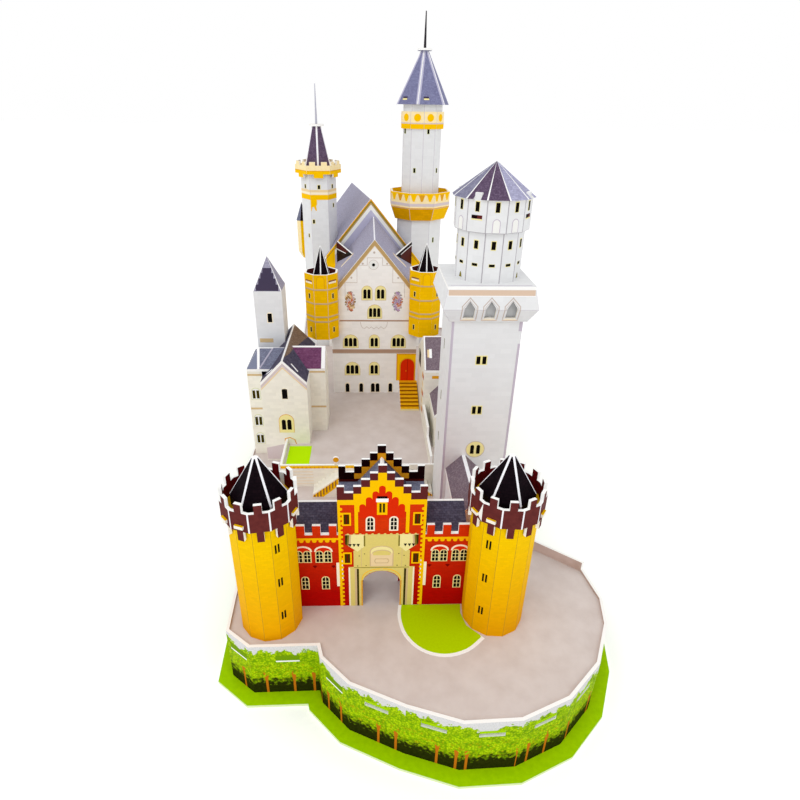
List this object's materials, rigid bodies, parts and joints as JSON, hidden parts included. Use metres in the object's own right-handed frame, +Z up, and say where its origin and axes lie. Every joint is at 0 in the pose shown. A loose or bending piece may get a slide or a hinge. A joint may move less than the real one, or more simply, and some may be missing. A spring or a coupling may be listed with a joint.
{
  "type": "cardboard castle",
  "caption": "Model castle folded and slotted together from printed foam board: walled hill, gate, keep, palace and round towers on a flat base board.",
  "frame": {"origin": "centre of the bounding box at the underside of the base board", "axes": "+Z up, +Y from the gate to the palace at the back, +X to the right seen from the gate"},
  "size_m": [0.2556, 0.615, 0.38],
  "materials": {
    "lawn_board": "printed foam board, matt to silk",
    "hedge_board": "printed foam board, matt to silk",
    "court_board": "printed foam board, matt to silk",
    "terrace_board": "printed foam board, matt to silk",
    "gate_board": "printed foam board, matt to silk",
    "slate_board": "printed foam board, matt to silk",
    "crown_board": "printed foam board, matt to silk",
    "yellow_board": "printed foam board, matt to silk",
    "spire_board": "printed foam board, matt to silk",
    "white_wall_board": "printed foam board, matt to silk",
    "purple_roof_board": "printed foam board, matt to silk"
  },
  "bodies": {
    "root": {"base_board": "lawn_board", "outer_wall_front": "hedge_board", "outer_wall_left": "hedge_board", "outer_wall_right": "hedge_board", "outer_wall_rear": "hedge_board", "hidden_floor": "lawn_board", "front_court_floor": "court_board", "upper_court_floor": "court_board", "retaining_wall": "terrace_board", "terrace_stairs": "terrace_board", "gate_front_wall": "gate_board", "gate_rear_wall": "gate_board", "gate_roof": "slate_board", "wing_roof_left": "slate_board", "wing_roof_right": "slate_board", "tower_shaft_left": "yellow_board", "tower_shaft_right": "yellow_board", "tower_crown_left": "crown_board", "tower_crown_right": "crown_board", "tower_disc_left": "yellow_board", "tower_disc_right": "yellow_board", "tower_spire_left": "spire_board", "tower_spire_right": "spire_board", "keep_shaft": "white_wall_board", "keep_head": "white_wall_board", "keep_top_plate": "white_wall_board", "keep_drum": "white_wall_board", "keep_lantern": "white_wall_board", "keep_roof": "slate_board", "link_house_walls": "white_wall_board", "link_house_roof": "slate_board", "low_wing_walls": "white_wall_board", "low_wing_roof": "slate_board", "range_walls": "white_wall_board", "range_roof": "slate_board", "palace_front_walls": "white_wall_board", "palace_front_roof": "slate_board", "entrance_stairs": "yellow_board", "palace_upper_gable": "white_wall_board", "palace_rear_walls": "white_wall_board", "palace_rear_roof": "slate_board", "turret_body_left": "yellow_board", "turret_body_right": "yellow_board", "turret_cone_left": "spire_board", "turret_cone_right": "spire_board", "tall_tower_lower": "white_wall_board", "tall_tower_gallery": "yellow_board", "tall_tower_upper": "white_wall_board", "tall_tower_roof": "slate_board", "side_tower_shaft": "white_wall_board", "side_tower_gallery": "yellow_board", "side_tower_roof": "spire_board", "rear_turret": "yellow_board", "left_house_walls": "white_wall_board", "left_house_roof": "purple_roof_board", "house_wing_roof": "purple_roof_board", "annex_roof": "slate_board", "back_tower_walls": "white_wall_board", "back_tower_roof": "slate_board"}
  },
  "joints": []
}
